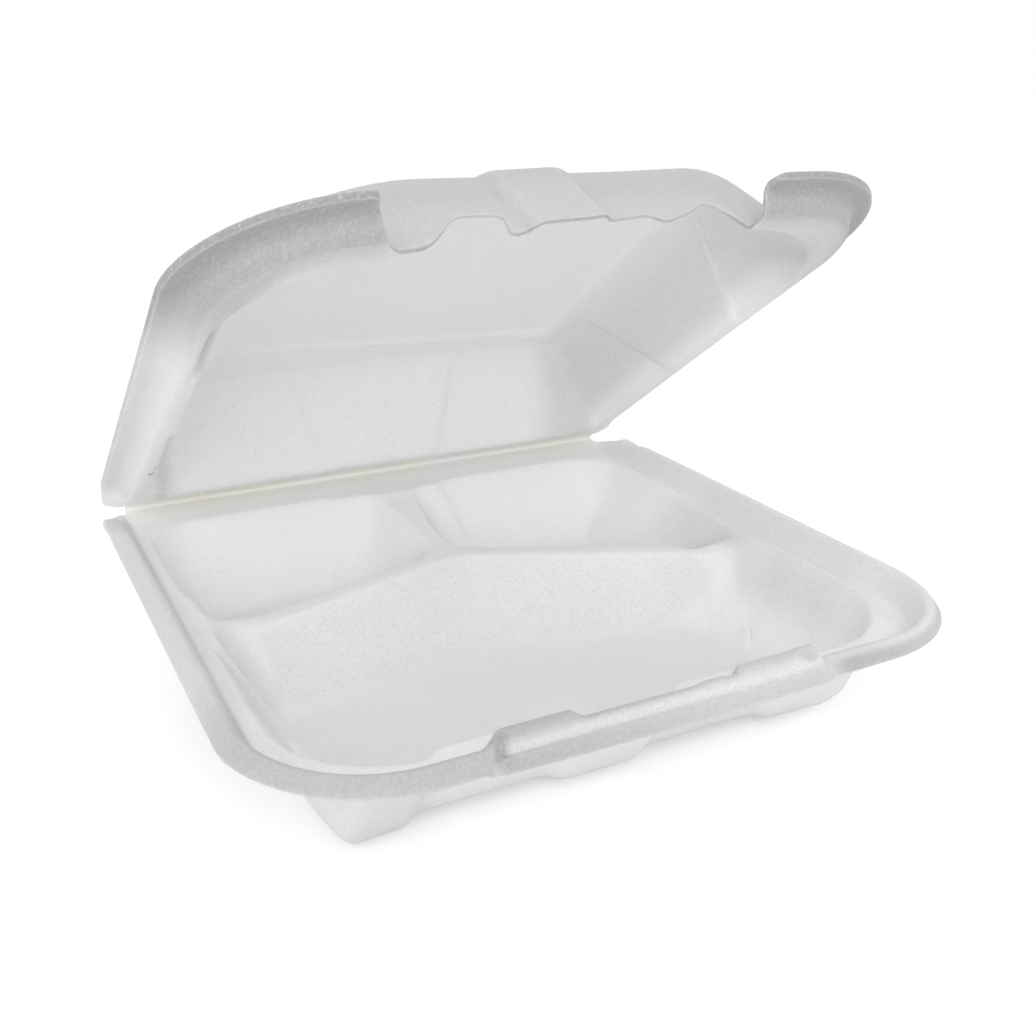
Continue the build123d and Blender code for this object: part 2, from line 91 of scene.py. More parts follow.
# loss is how much a corner's radius shrinks on the way down, skew how much more on the right
TUB = dict(half=101.1, front=208.0, back=17.0, corner=35.0, back_corner=20.0,
           loss=24.0, back_loss=5.0, skew=0.0)
TUB_TANS = dict(side=tan_degrees(29.5), front=tan_degrees(32.5), back=tan_degrees(28))
LEDGE = -3.0
FLOOR = -34.5
FOOT = -39.0               # underside of the feet
PANEL_STEP = 2.4
FRONT_STEP = 3.8           # the front walls' panels are deeper
DIVIDER_TOP = -10.0
DIVIDER_HALF = 4.2         # half the width of the cross wall's top
DIVIDER_END = 98           # where the cross wall runs into the side walls
DIVIDER_TAN = tan_degrees(31)      # lean of its rear faces and of the leg's sides
APEX = -74.0               # where the divider's three walls meet
POCKET = 2.0               # depth of the feet's hollows in the floor

# ------------------------------------------------------------------ lid
LID_RIM = dict(half_back=103.7, half_front=101.2, front=215.0, corner=37.0)
LID_LIP = 9.0
DOME = dict(half=98.2, front=211.0, back=14.0, corner=49.0, back_corner=16.0,
            loss=-5.0, back_loss=0.0, skew=7.0)
DOME_TANS = dict(side=tan_degrees(31), front=tan_degrees(36), back=tan_degrees(40))
LID_LEDGE = -1.0
LID_TOP = 31.5


# ------------------------------------------------------------------ helpers
def smooth_min(a, b, k):
    """The lower of two surfaces, with a fillet about k wide where they meet."""
    h = np.clip(0.5 + 0.5 * (b - a) / k, 0, 1)
    return b * (1 - h) + a * h - k * h * (1 - h)


def smooth_max(a, b, k):
    return -smooth_min(-a, -b, k)


def ramp(low, high, v):
    """Goes smoothly from 0 at low to 1 at high."""
    t = np.clip((v - low) / (high - low), 0, 1)
    return t * t * (3 - 2 * t)


def window(low, high, soft, v):
    """1 between low and high, fading to 0 over soft at each end."""
    return ramp(low - soft / 2, low + soft / 2, v) * (1 - ramp(high - soft / 2, high + soft / 2, v))


def curve(*points):
    """A smooth line through points that never overshoots, straight beyond its ends."""
    px, py = np.array(points, float).T
    run = np.diff(px)
    slope = np.diff(py) / run
    tangent = np.zeros(len(px))
    same = slope[:-1] * slope[1:] > 0
    total = np.where(same, slope[:-1] + slope[1:], 1)
    tangent[1:-1] = np.where(same, 2 * slope[:-1] * slope[1:] / total, 0)
    tangent[0], tangent[-1] = slope[0], slope[-1]

    def at(v):
        v = np.asarray(v, float)
        inside = np.clip(v, px[0], px[-1])
        i = np.clip(np.searchsorted(px, inside) - 1, 0, len(run) - 1)
        t = (inside - px[i]) / run[i]
        h = run[i]
        value = (
            py[i] * (1 + 2 * t) * (1 - t) ** 2 + tangent[i] * h * t * (1 - t) ** 2
            + py[i + 1] * t * t * (3 - 2 * t) + tangent[i + 1] * h * t * t * (t - 1)
        )
        beyond = np.where(v < px[0], tangent[0] * (v - px[0]), 0)
        return value + beyond + np.where(v > px[-1], tangent[-1] * (v - px[-1]), 0)

    return at


def ripple(x, y, size, seed, waves=11):
    """Gentle random unevenness, about 1 high, with bumps about size across."""
    rng = np.random.default_rng(seed)
    total = 0
    for _ in range(waves):
        turn, phase = rng.uniform(0, 2 * math.pi, 2)
        f = math.pi / size * rng.uniform(0.6, 1.5)
        total = total + np.sin(f * (x * math.cos(turn) + y * math.sin(turn)) + phase)
    return total / math.sqrt(waves / 2)


def outside(x, y, half_back, half_front, front, corner):
    """How far a point lies outside a rounded outline with its open side at the hinge."""
    half = half_back - (half_front - half_back) * y / front
    qx = np.abs(x) - half + corner
    qy = -y - front + corner
    beyond = np.hypot(np.maximum(qx, 0), np.maximum(qy, 0))
    return beyond + np.minimum(np.maximum(qx, qy), 0) - corner


def ring(out, spacing, half_back, half_front, front, corner):
    """Points along that outline moved outwards, from the left hinge corner to the right one."""
    bend = front - corner
    half = half_back + (half_front - half_back) * bend / front
    radius = corner + out
    n_side = int(bend / spacing)
    n_arc = int(radius * math.pi / 2 / spacing)
    n_front = int(2 * (half - corner) / spacing)
    side = np.linspace(0, 1, n_side, endpoint=False)
    left = np.stack([-(half_back + (half - half_back) * side + out), -bend * side], 1)
    turn = np.linspace(0, math.pi / 2, n_arc, endpoint=False)
    arc = np.stack([-(half - corner) - radius * np.cos(turn), -bend - radius * np.sin(turn)], 1)
    across = np.linspace(-(half - corner), half - corner, n_front, endpoint=False)
    ahead = np.stack([across, np.full(n_front, -(front + out))], 1)
    mirrored = np.concatenate([left, arc])[::-1] * (-1, 1)
    return np.concatenate([left, arc, ahead, mirrored])


def corner_depth(corner, a, b, tan_a, tan_b):
    """Depth under a rounded corner of two leaning walls, a and b being the ways in from them."""
    qa, qb = corner - a, corner - b
    reach = np.hypot(np.maximum(qa, 0), np.maximum(qb, 0))
    way_in = corner - reach - np.minimum(np.maximum(qa, qb), 0)
    lean = ramp(-0.7, 0.7, (qa - qb) / corner)
    return way_in / (tan_a * lean + tan_b * (1 - lean))


def hollow(x, y, shape, tans, deep, steps):
    """Depth of a hollow with leaning walls, which step inwards where steps says so."""
    depth = np.zeros_like(x)
    passes, deepest_share = 4, 1.12     # steps and corners depend on the depth itself
    for _ in range(passes):
        share = np.clip(depth / deep, 0, deepest_share)
        in_side, outside_shade_share, in_back = steps(x, y, np.clip(depth, 0, deep))
        side = shape["half"] - np.abs(x) - in_side
        ahead = shape["front"] + y - outside_shade_share
        behind = -y - shape["back"] - in_back
        corner = shape["corner"] - (shape["loss"] + shape["skew"] * np.sign(x)) * share
        near = corner_depth(corner, side, ahead, tans["side"], tans["front"])
        back_corner = shape["back_corner"] - shape["back_loss"] * share
        far = corner_depth(back_corner, side, behind, tans["side"], tans["back"])
        depth = np.minimum(near, far)
    return depth


# ------------------------------------------------------------------ tray: upper surface
# profiles across the rim, as e and height: plain, on the catch bar, on its thumb bumps and
# by the hinge; band_line is the profile along Y behind the tub
rim_line = curve((-14, -3), (-1.6, -3), (-0.2, -2.5), (1.2, -0.6), (2.6, 2.3), (3.6, 4.1),
                 (4.6, 5.0), (5.6, 5.05), (6.9, 4.3), (8.4, 2.7), (10, 0.6))
catch_line = curve((-14, -3), (-1.6, -3), (-0.2, -2.4), (1.0, 0.0), (2.4, 3.8), (3.6, 6.0),
                   (4.8, 6.9), (6.2, 6.9), (7.2, 6.0), (8.0, 4.6), (8.4, 4.2), (9.6, 3.6),
                   (10.1, 3.1), (10.8, 1.6), (11.4, 0.0))
bump_line = curve((-14, -3), (-2.4, -3), (-1.2, -2.2), (-0.2, 1.2), (0.8, 5.4), (1.9, 7.9),
                  (3.2, 8.6), (5.2, 8.3), (6.6, 7.2), (7.4, 5.8), (8.0, 4.6), (8.4, 4.2),
                  (9.6, 3.6), (10.1, 3.1), (10.8, 1.6), (11.4, 0.0))
band_line = curve((-24, -3), (-15, -2.8), (-10, -2.0), (-6, -1.0), (-3.5, -0.6), (0, -0.4))
corner_line = curve((-14, -3), (-1.6, -3), (0, -1.9), (2.4, 0.2), (6, 1.4), (10, 2.4))
CATCH = (-58.0, 46.0)      # the catch bar's ends
BUMPS = ((-56.0, -32.0, 1.0), (5.0, 14.0, 0.35), (18.0, 50.0, 1.0))    # ends and height
DENT_X, DENT_E, DENT_DEPTH = 42.5, 6.2, 3.4    # the crumpled place on the right thumb bump


def tray_steps(x, y, depth):
    """How far the panels in the tray's side, front and rear walls stand inwards.

    Their borders lean, so each is a line from its place at the ledge to that at the floor."""
    share = depth / (LEDGE - FLOOR)
    d = -y
    right = np.where(x > 0, 1.0, 0.0)
    back_edge = 83 - 22 * share
    front_edge = (118 + 32 * share**1.3) * right + (124 + 19 * share) * (1 - right)
    side = ramp(back_edge - 7, back_edge + 7, d) * ramp(front_edge + 2, front_edge - 2, d)
    back = 1.2 * window(-28 - 11 * share, 20 + 10 * share, 6.0, x)
    front = window(-66, -19.5, 6.0, x) + window(9.5, 57, 6.0, x)
    return PANEL_STEP * side, FRONT_STEP * front, PANEL_STEP * back


def bent(x, middle, slope_left, slope_right, soft):
    """A line across the tray that is bent at x = 0, and rounded there over soft."""
    slope = (slope_right - slope_left) / 2
    mean = (slope_right + slope_left) / 2
    return middle + mean * x + slope * (np.sqrt(x * x + soft * soft) - soft)


def divider_lines(x):
    """Where the cross wall's top runs, and where its front face meets the floor."""
    top = bent(x, APEX, 0.3295, -0.4756, 3.5) - 5.0 * ramp(76, 84, x)
    foot = bent(x + 5, -108.0, 0.197, -0.244, 5.0)
    return top, foot


def divider(x, y):
    """Height of the Y-shaped divider: a bent cross wall, and a leg back to the rear wall."""
    top, foot = divider_lines(x)
    half = DIVIDER_HALF
    # the front face falls straight from the top's edge to the foot line
    fall = DIVIDER_TOP - FLOOR
    front = DIVIDER_TOP - fall * (top - half - y) / (top - half - foot)
    front = smooth_max(front, FLOOR - 3.0 + 0 * x, 5.0)
    # the other faces lean back from the edges of both tops; the leg widens and rises rearwards
    off = x - 0.5 + 0.04 * (y - APEX)
    leg_half = 4.0 + 3.6 * ramp(-50, -18, y)
    way = smooth_min(y - top - half, np.abs(off) - leg_half, 13.0)
    crest = DIVIDER_TOP - 0.7 * ramp(-80, -66, y) + 6.4 * ramp(-64, -19, y)
    back = crest - way / DIVIDER_TAN
    ridge = smooth_min(smooth_min(front, back, 4.0), crest, 2.0)
    # shoulders that carry the cross wall up to the ledges
    buttress = LEDGE - 0.5 * (DIVIDER_END - np.abs(x)) - 0.035 * (y - top + 1) ** 2
    return smooth_max(ridge, buttress, 5.0)


def tray_top(x, y):
    """The tray's upper surface."""
    e = outside(x, y, **RIM)
    # rim, with the catch bar and its bumps at the front, and its flat corners by the hinge
    bar = window(CATCH[0], CATCH[1], 3.0, x) * ramp(-190, -200, y)
    bump = sum(share * window(a, b, 4.5, x) for a, b, share in BUMPS)
    raised = catch_line(e) * (1 - bump) + bump_line(e) * bump
    rim = rim_line(e) * (1 - bar) + raised * bar
    near_hinge = ramp(-40, -16, y)
    rim = rim * (1 - near_hinge) + corner_line(e) * near_hinge
    dent = np.exp(-((x - DENT_X) / 3.4) ** 2 - ((e - DENT_E) / 1.5) ** 2)
    raised_round = 0.55 * np.exp(-((x - DENT_X) / 5.2) ** 2 - ((e - DENT_E) / 2.6) ** 2)
    rim = rim - DENT_DEPTH * (dent - raised_round) * bar
    rim = smooth_max(rim, band_line(y), 0.8)
    # tub, with four corner feet and one at the middle of the front
    deep = LEDGE - FLOOR
    depth = hollow(x, y, TUB, TUB_TANS, deep, tray_steps)
    pockets = ramp(61, 70, np.abs(x)) * (ramp(-139, -147, y) + ramp(-62, -54, y))
    pockets = pockets + window(-16, 8, 6.0, x) * ramp(-150, -158, y)
    floor = FLOOR - POCKET * pockets + 0.25 * ripple(x, y, size=45, seed=3)
    tub = smooth_max(LEDGE - depth, floor, 4.5)
    wall = divider(x, y)
    fillet = 5.0 + 8.0 * ramp(-50, -26, y)
    tub = smooth_max(tub, wall, fillet)
    tub = tub + 0.12 * ripple(x, y, size=24, seed=4)
    z = smooth_min(rim, tub, 1.8)
    return z + 0.1 * ripple(x, y, size=60, seed=5) * ramp(4, 14, -y)


def tray_sheet(x, y):
    """The tray's sheet thickness."""
    e = outside(x, y, **RIM)
    thick = SHEET + (TRAY_SHEET_RIM - SHEET) * ramp(-2, 3, e)
    return thick + (SHEET_HINGE - thick) * (1 - ramp(0.5, 7, -y))


# ------------------------------------------------------------------ lid: lower surface
lid_rim_line = curve((-14, -1), (-1.4, -1), (-0.2, -0.6), (0.9, 0.8), (2.0, 3.0), (3.0, 4.9),
                     (4.0, 5.8), (5.2, 6.1), (7.0, 6.0), (9.0, 5.6))
lid_band_line = curve((-22, -1), (-14, -0.9), (-9, -0.4), (-3.5, 0.3), (0, 0.4))
lid_corner_line = curve((-14, -1), (-1.4, -1), (0.5, 0.1), (3, 0.8), (6, 1.7), (9, 2.4))
# the front wall's wavy cut edge: places along the front and heights above the hinge line
CUT = ((-56, -0.9), (-52, -0.9), (-49.5, 0.0), (-46.5, 1.6), (-42, 5.4), (-37.5, 10.0),
       (-34.5, 12.4), (-30, 13.0), (-22, 12.8), (-20.4, 11.2), (-22.6, 4.6), (-21.2, 3.6),
       (-15, 5.6), (1, 5.8), (21, 8.0), (24.2, 7.7), (25.4, 5.2), (28, 4.8), (36, 7.6),
       (42, 10.6), (45, 12.4), (48, 11.6), (50.2, 6.0), (51.2, -0.6))
CUT_LEFT, CUT_RIGHT = -62, 53      # the cut sheet's ends
LIP_LEFT, LIP_RIGHT = -69, 56      # and where the lip stops on either side of it


def lid_steps(x, y, depth):
    """How far the panels in the lid's side, front and rear walls stand inwards."""
    share = depth / (LID_TOP - LID_LEDGE)
    d = -y
    side = window(87 - 17 * share, 133 + 20 * share, 3.5, d)
    back = window(-27 - 14 * share, 21 + 7 * share, 5.0, x)
    front = 1 - window(-15, 8, 5.0, x)
    return PANEL_STEP * side, FRONT_STEP * front, PANEL_STEP * back


def lid_under(x, y):
    """The lid's lower surface: rim, dome, and the raised panel and small boss on its top."""
    e = outside(x, y, **LID_RIM)
    near_hinge = ramp(-18, -4, y)
    rim = lid_rim_line(e) * (1 - near_hinge) + lid_corner_line(e) * near_hinge
    rim = smooth_max(rim, lid_band_line(y), 0.6)
    depth = hollow(x, y, DOME, DOME_TANS, LID_TOP - LID_LEDGE, lid_steps)
    back_edge = -64 + 0.08 * x
    panel = ramp(65.5, 62.5, np.abs(x + 1))
    panel = panel * ramp(back_edge + 1.5, back_edge - 1.5, y) * ramp(-157, -154, y)
    boss = np.exp(-((x - 60) / 4.5) ** 2 - ((y + 55) / 2.6) ** 2)
    top = LID_TOP + 1.3 * panel - 0.8 * boss + 0.2 * ripple(x, y, size=50, seed=13)
    dome = smooth_min(LID_LEDGE + depth, top, 8.0)
    dome = dome + 0.12 * ripple(x, y, size=26, seed=14)
    z = smooth_max(rim, dome, 1.7)
    return z + 0.12 * ripple(x, y, size=60, seed=15) * ramp(4, 14, -y)


def lid_sheet(x, y):
    """The lid's sheet thickness."""
    e = outside(x, y, **LID_RIM)
    thick = SHEET + (LID_SHEET_RIM - SHEET) * ramp(-2, 3, e)
    by_cut = ramp(-188, -196, y) * window(CUT_LEFT, CUT_RIGHT, 4, x)
    thick = thick + (CUT_SHEET - thick) * by_cut
    return thick + (SHEET_HINGE - thick) * (1 - ramp(0.5, 7, -y))


def lid_softening(x, y):
    """How much smoother the lid's outside is over the steps of its side walls, in mm."""
    e = outside(x, y, **LID_RIM)
    return 1.8 * ramp(-3, -8, e) * ramp(-182, -172, y) * ramp(66, 76, np.abs(x))


# ------------------------------------------------------------------ outlines in plan
SEAM_X = np.linspace(-HINGE_HALF, HINGE_HALF, 161)
SEAM_LINE = np.stack([SEAM_X[::-1], np.full(len(SEAM_X), -SEAM)], 1)
EDGE_STEP = 1.15           # distance between points along an edge
FINE_STEP = 0.9            # and where it bends more
CUT_STEP = 0.4             # and along the cut, before it is laid out in plan


def even(points, spacing):
    """The same open line, with points at even steps."""
    points = np.array(points, float)
    gaps = np.hypot(*np.diff(points, axis=0).T)
    at = np.concatenate([[0], np.cumsum(gaps)])
    places = np.linspace(0, at[-1], max(2, int(round(at[-1] / spacing)) + 1))
    return np.stack([np.interp(places, at, points[:, 0]), np.interp(places, at, points[:, 1])], 1)


def rounded(points, radius, steps=5):
    """The same open line with its inner corners rounded."""
    points = [np.array(p, float) for p in points]
    out = [points[0]]
    for a, b, c in zip(points, points[1:], points[2:]):
        u, v = (a - b), (c - b)
        la, lc = np.linalg.norm(u), np.linalg.norm(v)
        cut = min(radius, la * 0.45, lc * 0.45)
        p, q = b + u / la * cut, b + v / lc * cut
        for t in np.linspace(0, 1, steps):
            out.append(p * (1 - t) ** 2 + 2 * b * t * (1 - t) + q * t * t)
    out.append(points[-1])
    return out


def notch(side, line, lip_x):
    """The notch at one end of the hinge, from the seam out to the lip; line is as on the right."""
    line = [(side * HINGE_HALF, -SEAM)] + [(side * x, y) for x, y in line]
    end = line[-1][1]
    return even(rounded(line + [(side * lip_x, end - 5)], radius=0.9), FINE_STEP)


TRAY_NOTCH_LEFT = ((105.3, -4.0), (107.2, -6.4), (110.8, -11.8), (114.3, -13.9))
TRAY_NOTCH_RIGHT = ((104.7, -4.4), (107.4, -9.0), (110.4, -13.0), (114.3, -15.4))
LID_NOTCH_LEFT = ((104.9, -2.4), (106.3, -1.1), (110.6, -1.5), (112.4, -3.6))
LID_NOTCH_RIGHT = ((104.7, -3.0), (107.0, -1.7), (110.8, -1.0), (112.6, -3.0))


def tray_outline():
    """The tray's edge in plan, anticlockwise from the right end of the seam."""
    edge = ring(LIP, EDGE_STEP, **RIM)
    x = edge[:, 0]
    front = ramp(-180, -205, edge[:, 1])
    # the catch bar stands out a little, and the front lip is slightly bowed
    bulge = 1.35 * window(CATCH[0] - 0.5, CATCH[1] + 1, 5, x) - 0.5 * (np.abs(x) / 100) ** 2
    edge[:, 1] -= front * bulge
    lip_x = RIM["half_back"] + LIP + 0.1
    edge = edge[edge[:, 1] < -20.5]         # the notches take over nearer the hinge
    left = notch(-1, TRAY_NOTCH_LEFT, lip_x)
    right = notch(1, TRAY_NOTCH_RIGHT, lip_x)[::-1]
    return np.concatenate([SEAM_LINE, left[1:], edge, right[:-1]])


def lid_outline():
    """The lid's edge in plan, with the cut-out at its front."""
    edge = ring(LID_LIP, EDGE_STEP, **LID_RIM)
    edge = edge[edge[:, 1] < -10.5]         # the notches take over nearer the hinge
    lip_y = -(LID_RIM["front"] + LID_LIP)
    left = edge[edge[:, 0] < LIP_LEFT]
    right = edge[edge[:, 0] > LIP_RIGHT]
    # the cut edge lies on the front wall, so its heights give the way in
    across, height = even(rounded(CUT, radius=1.6), CUT_STEP).T
    height = height - LID_LEDGE
    step = lid_steps(across, across * 0 - DOME["front"], np.maximum(height, 0))[1]
    wall = np.stack([across, step + height * DOME_TANS["front"] - DOME["front"]], 1)
    enter = [left[-1], (-65, lip_y), (-63.2, -218), (-60, -210.5), wall[0]]
    leave = [wall[-1], (51.2, -213), (51.6, -218), (52, lip_y), right[0]]
    enter, leave = rounded(enter, radius=3.0), rounded(leave, radius=3.0)
    front = even(np.concatenate([enter[1:-1], wall, leave[1:-1]]), FINE_STEP)
    lip_x = LID_RIM["half_back"] + LID_LIP
    notch_left = notch(-1, LID_NOTCH_LEFT, lip_x)
    notch_right = notch(1, LID_NOTCH_RIGHT, lip_x)[::-1]
    return np.concatenate([SEAM_LINE, notch_left[1:], left, front, right, notch_right[:-1]])


# ------------------------------------------------------------------ meshing
def contains(loop, points):
    """Which points lie inside a closed loop."""
    inside = np.zeros(len(points), bool)
    x, y = points.T
    for (ax, ay), (bx, by) in zip(loop, np.roll(loop, -1, axis=0)):
        crosses = (ay > y) != (by > y)
        if crosses.any():
            at = ax + (y[crosses] - ay) * (bx - ax) / (by - ay)
            inside[np.where(crosses)[0]] ^= x[crosses] < at
    return inside


def distance_to(loop, points, chunk=4000):
    """Distance of each point to the nearest point of a closely spaced loop."""
    out = np.empty(len(points))
    for i in range(0, len(points), chunk):
        gap = points[i:i + chunk, None, :] - loop[None, :, :]
        out[i:i + chunk] = np.sqrt((gap**2).sum(2).min(1))
    return out


def lattice(spacing):
    """Triangular lattice over the container's plan, and which of its points are coarse ones."""
    half_width, length, row = 118, 230, 0.866
    rows = np.arange(0, int(length / (spacing * row)))
    columns = np.arange(-int(half_width / spacing), int(half_width / spacing) + 1)
    c, r = np.meshgrid(columns, rows)
    x = (c + (r % 2) * 0.5) * spacing
    y = -r * spacing * row - 1
    coarse = (r % 2 == 0) & ((c + r // 2) % 2 == 0)
    return np.stack([x.ravel(), y.ravel()], 1), coarse.ravel()


def slopes(surface, x, y, reach):
    """The surface's slopes along X and Y, measured over reach to each side."""
    dx = (surface(x + reach, y) - surface(x - reach, y)) / (2 * reach)
    dy = (surface(x, y + reach) - surface(x, y - reach)) / (2 * reach)
    return dx, dy


FINE = 0.8                 # the lattice's spacing where the surface bends
SHARP = 0.14               # how far off flat counts as bending
CLEAR = 0.55               # inner points keep this far from the edge


def plan_points(loop, surface, rim, rings, inner):
    """Points to triangulate: rings along the rim and, where e is below inner, a lattice that
    is finer where the surface bends."""
    ringed = np.concatenate([ring(out, EDGE_STEP, **rim) for out in rings])
    mesh, coarse = lattice(FINE)
    x, y = mesh.T
    twice = 2 * surface(x, y)
    d = FINE * 1.1
    bend = np.maximum(
        np.abs(surface(x + d, y) + surface(x - d, y) - twice),
        np.abs(surface(x, y + d) + surface(x, y - d) - twice),
    )
    mesh = mesh[(coarse | (bend > SHARP)) & (outside(x, y, **rim) < inner)]
    points = np.concatenate([ringed, mesh])
    points = points[contains(loop, points)]
    return points[distance_to(loop, points) > CLEAR]


def triangulate(loop, points):
    """Delaunay triangles inside the loop."""
    every = [Vector(p) for p in np.concatenate([loop, points])]
    only_inside, nearest = 1, 1e-5
    result = delaunay_2d_cdt(every, [], [list(range(len(loop)))], only_inside, nearest)
    verts = np.array([tuple(v) for v in result[0]])
    faces = np.array([f for f in result[2] if len(f) == 3])
    a, b, c = (verts[faces[:, i]] for i in range(3))
    turn = (b[:, 0] - a[:, 0]) * (c[:, 1] - a[:, 1]) - (b[:, 1] - a[:, 1]) * (c[:, 0] - a[:, 0])
    faces[turn < 0] = faces[turn < 0][:, ::-1]
    return verts, faces


def offset_skin(surface, thickness, x, y, side, more=0.0):
    """The sheet's other skin, from a slightly smoothed copy of the first. It lies on side
    (-1 below, 1 above), and more, in mm, smooths it further."""
    reach = 1.1 + more
    z = surface(x, y) * 0.4
    for k in range(6):
        turn = k * math.pi / 3
        z = z + 0.1 * surface(x + reach * math.cos(turn), y + reach * math.sin(turn))
    dx, dy = slopes(surface, x, y, 1.2 + more)
    size = np.sqrt(dx * dx + dy * dy + 1)
    t = thickness(x, y) / size * side
    return np.stack([x - dx * t, y - dy * t, z + t], 1)


EDGE_ROUND = ((0.12, 0.16), (0.5, 0.26), (0.88, 0.16))     # share of the edge, way out


def border(faces, n):
    """The edges that only one face has, in that face's direction."""
    edges = np.concatenate([faces[:, [0, 1]], faces[:, [1, 2]], faces[:, [2, 0]]])
    key = np.sort(edges, axis=1)
    _, first_at, count = np.unique(key[:, 0] * n + key[:, 1], return_index=True, return_counts=True)
    return edges[first_at[count == 1]]


def sheet_mesh(name, loop, points, surface, thickness, side, more=None):
    """A sheet whose first skin is surface; the other is on side (-1 below, 1 above).

    The vertices are the upper skin, the lower one and the rounded edge, in that order. It is
    left open along the seam. Returns the object and how many vertices a skin has."""
    plan, faces = triangulate(loop, points)
    x, y = plan.T
    first = np.stack([x, y, surface(x, y)], 1)
    other = offset_skin(surface, thickness, x, y, side, more(x, y) if more else 0.0)
    seam = (np.abs(y + SEAM) < 1e-3) & (np.abs(x) < HINGE_HALF + 1e-3)
    other[seam, 0] = x[seam]
    n = len(plan)
    upper, lower = (first, other) if side < 0 else (other, first)
    rim_edges = border(faces, n)
    rim_edges = rim_edges[~(seam[rim_edges[:, 0]] & seam[rim_edges[:, 1]])]
    rim_points = np.unique(rim_edges)
    slot = np.full(n, -1)
    slot[rim_points] = np.arange(len(rim_points))
    # the way out of the sheet at each edge point
    way = np.zeros((n, 2))
    run = plan[rim_edges[:, 1]] - plan[rim_edges[:, 0]]
    normal = np.stack([run[:, 1], -run[:, 0]], 1)
    np.add.at(way, rim_edges[:, 0], normal)
    np.add.at(way, rim_edges[:, 1], normal)
    way = way[rim_points]
    way /= np.maximum(np.linalg.norm(way, axis=1, keepdims=True), 1e-9)
    layers = []
    for share, bulge in EDGE_ROUND:
        mid = upper[rim_points] * (1 - share) + lower[rim_points] * share
        mid[:, :2] += way * bulge
        layers.append(mid)
    verts = np.concatenate([upper, lower, *layers])
    a, b = rim_edges.T
    starts = 2 * n + np.arange(len(EDGE_ROUND)) * len(rim_points)
    rows = [(a, b)] + [(start + slot[a], start + slot[b]) for start in starts] + [(a + n, b + n)]
    quads = [
        np.stack([low_a, low_b, high_b, high_a], 1)
        for (high_a, high_b), (low_a, low_b) in zip(rows, rows[1:])
    ]
    return make_object(name, verts, [faces, faces[:, ::-1] + n, *quads]), n


def link(name, data):
    """A new object in the scene."""
    obj = bpy.data.objects.new(name, data)
    bpy.context.scene.collection.objects.link(obj)
    return obj


def make_object(name, verts, face_groups):
    """A smooth-shaded mesh from vertices in millimetres."""
    faces = [tuple(int(i) for i in f) for group in face_groups for f in group]
    mesh = bpy.data.meshes.new(name)
    mesh.from_pydata([tuple(v) for v in verts / 1000], [], faces)
    mesh.validate()
    mesh.polygons.foreach_set("use_smooth", np.ones(len(mesh.polygons), bool))
    mesh.update()
    return link(name, mesh)


def paint(obj, name, values):
    """Stores one number, or one place, a vertex for the materials."""
    values = np.asarray(values, np.float32)
    kind, field = ("FLOAT", "value") if values.ndim == 1 else ("FLOAT_VECTOR", "vector")
    layer = obj.data.attributes.new(name, kind, "POINT")
    layer.data.foreach_set(field, values.ravel())


def coordinates(obj):
    """The vertices in millimetres."""
    out = np.empty(len(obj.data.vertices) * 3)
    obj.data.vertices.foreach_get("co", out)
    return out.reshape(-1, 3) * 1000


def opened(points):
    """Turns points of the shut lid open about the hinge line."""
    c, s = math.cos(LID_OPEN), math.sin(LID_OPEN)
    x, y, z = points.T
    return np.stack([x, y * c + z * s, -y * s + z * c], 1)


def put(obj, points):
    """Moves the vertices to these places, in millimetres about the hinge line."""
    placed = points / 1000 + np.array(HINGE)
    obj.data.vertices.foreach_set("co", placed.astype(np.float32).ravel())
    obj.data.update()


# ------------------------------------------------------------------ tray and lid
# Four values a vertex go to the material: "beads" is how much the coarse beads show, the second
# how dense and grey the foam is together with painted shade where a surface faces away from the
# light or lies in shade, the third a painted bluish shade, and "plan" is the place with the lid
# shut. The grey darkens the foam partly where the real one was pressed hard in its mould and
# partly as painted shade.
TRAY_RINGS = (9.4, 8.8, 8.1, 7.4, 6.7, 6.1, 5.5, 4.9, 4.3, 3.7, 3.1, 2.5, 1.9, 1.3, 0.6, -0.1,
              -0.8, -1.6)
LID_RINGS = (8.4, 7.7, 7.0, 6.3, 5.6, 5.0, 4.4, 3.8, 3.2, 2.6, 2.0, 1.4, 0.7, 0.0, -0.7, -1.5)


